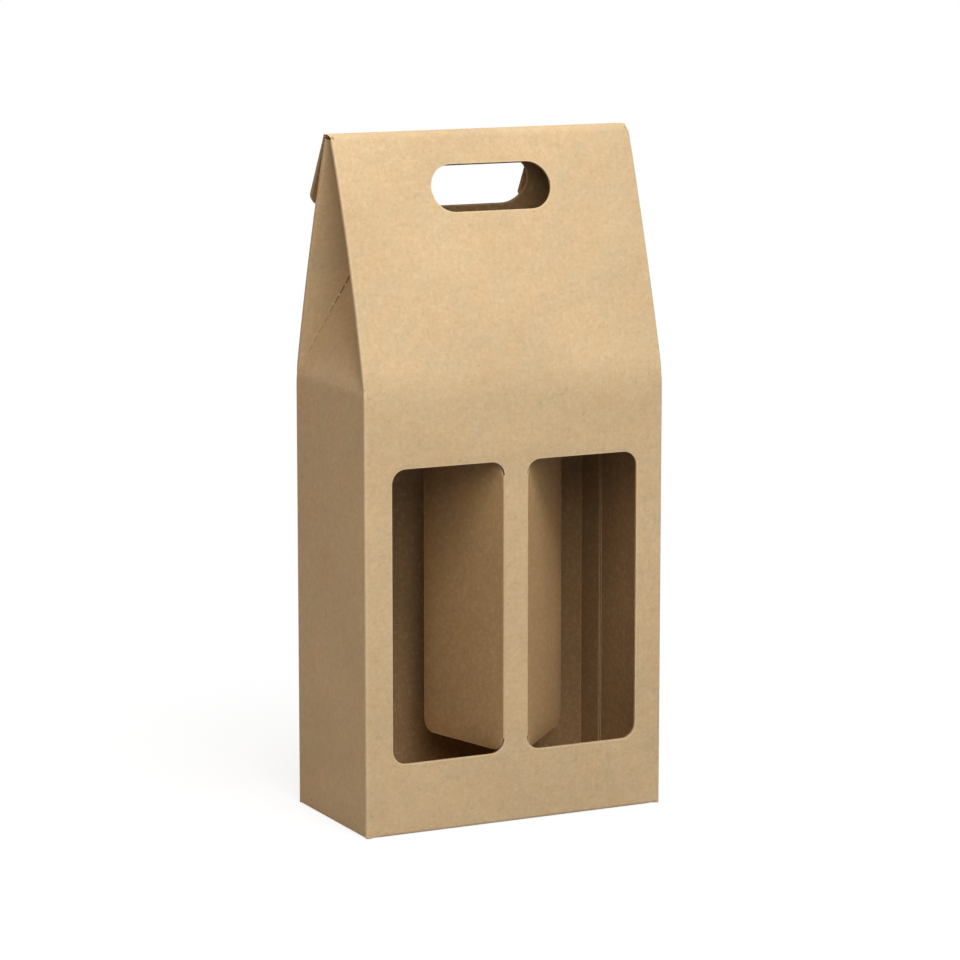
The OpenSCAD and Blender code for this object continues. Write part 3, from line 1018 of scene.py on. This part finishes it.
# painted shade: the inner faces get a darker copy of the liner
kraftInsidePaintedShade = kraftPaper("kraft inner liner, darkened as painted shade", kraftLook["inside"])
cutLiner = cutBoard("cut liner", linear(214, 186, 147), linear(230, 203, 165))
flutedPaper = cutBoard("fluted paper", linear(166, 129, 88), linear(186, 148, 105))
edgePapers = [cutLiner, flutedPaper]
makeCarton([kraftOutside, kraftInsidePaintedShade] + edgePapers)
print("carton folded")
for side, body, axis in ((-1, "left_window_flap", leftAxis), (1, "right_window_flap", rightAxis)):
    resting = -joints[body + "_hinge"]["range_deg"][0]
    makeWindowFlap(side, body, axis, resting, [kraftShaded, kraftInsidePaintedShade] + edgePapers)
makeClosingFlap([kraftPlain, kraftInsidePaintedShade] + edgePapers)
print("flaps made")

# The studio

studio = {
    "ambient": 0.03,
    "ambientColour": (1.0, 0.95, 0.88),
    "floorGlow": 0.82,  # near the carrier, share of the floor's look that no shadow darkens
    "glowFades": (0.2, 0.5),  # metres from the middle, between which the rest turns plain white too
    "floorShade": 0.4,  # how pale the floor is to all light but the camera's
    "lamps": [  # name, degrees from the front towards the right, elevation, distance, size, watts, colour
        ("overhead", 2, 62, 2.4, 1.4, 49.0, (0.97, 1.0, 1.05)),
        ("near", -22, 36, 1.1, 0.9, 6.6, (1.0, 0.96, 0.87)),
        ("side", -112, 22, 2.2, 1.2, 5.0, (1.0, 0.62, 0.36)),
        ("far side", 105, 25, 2.2, 1.2, 8.0, (1.0, 0.9, 0.8)),
        ("back", 180, 40, 2.4, 1.4, 20.0, (1.0, 1.0, 1.0)),
    ],
}


def toEye(tree):
    # 1 where the camera looks, straight or by way of gloss or glass, and 0 for all other light
    start = Wire(tree)
    rays = [start.node("ShaderNodeLightPath", out=name)
            for name in ("Is Camera Ray", "Is Glossy Ray", "Is Transmission Ray")]
    return start, rays[0].most(rays[1]).most(rays[2])


def lightStudio():
    world = bpy.data.worlds.new("studio")
    bpy.context.scene.world = world
    world.use_nodes = True
    start, seen = toEye(world.node_tree)
    strength = studio["ambient"] + seen * (1 - studio["ambient"])
    ground = world.node_tree.nodes["Background"]
    colour = start.mix(studio["ambientColour"] + (1,), (1, 1, 1, 1), seen)
    world.node_tree.links.new(colour.socket, ground.inputs["Color"])
    world.node_tree.links.new(strength.socket, ground.inputs["Strength"])
    for name, turn, rise, distance, size, watts, tint in studio["lamps"]:
        turn, rise = math.radians(turn), math.radians(rise)
        spot = Vector((math.sin(turn) * math.cos(rise), -math.cos(turn) * math.cos(rise), math.sin(rise))) * distance
        spot.z += 0.2
        lamp = bpy.data.objects.new(name, bpy.data.lights.new(name, "AREA"))
        bpy.context.scene.collection.objects.link(lamp)
        lamp.data.shape, lamp.data.size, lamp.data.energy, lamp.data.color = "DISK", size, watts, tint
        lamp.location = spot
        lamp.rotation_euler = (Vector((0, 0, 0.2)) - spot).to_track_quat("-Z", "Y").to_euler()


def layFloor():
    mesh = bpy.data.meshes.new("floor")
    reach = 30.0
    corners = [(-reach, -reach, 0), (reach, -reach, 0), (reach, reach, 0), (-reach, reach, 0)]
    mesh.from_pydata(corners, [], [(0, 1, 2, 3)])
    floor = bpy.data.objects.new("floor", mesh)
    bpy.context.scene.collection.objects.link(floor)
    material, _, surface = startMaterial("white floor")
    surface.inputs["Roughness"].default_value = 0.9
    surface.inputs["Specular IOR Level"].default_value = 0.0
    start, seen = toEye(material.node_tree)
    plug(start.mix((studio["floorShade"],) * 3 + (1,), (1, 1, 1, 1), seen), surface, "Base Color")
    white = start.node("ShaderNodeEmission", values={"Color": (1, 1, 1, 1), "Strength": 1.0})
    spot = start.node("ShaderNodeNewGeometry", out=0)
    far = start.node("ShaderNodeVectorMath", {"operation": "LENGTH"}, {0: spot}, out=1)
    glow = far.ramp(*studio["glowFades"], studio["floorGlow"], 1.0)
    mixed = start.node("ShaderNodeMixShader",
                       values={0: seen * glow, 1: Wire(material.node_tree, surface.outputs[0]), 2: white})
    output = material.node_tree.nodes["Material Output"]
    material.node_tree.links.new(mixed.socket, output.inputs["Surface"])
    mesh.materials.append(material)
    floor.location.z = -0.0002


lightStudio()
layFloor()
bpy.context.scene.view_settings.view_transform = "Standard"
print("studio lit")
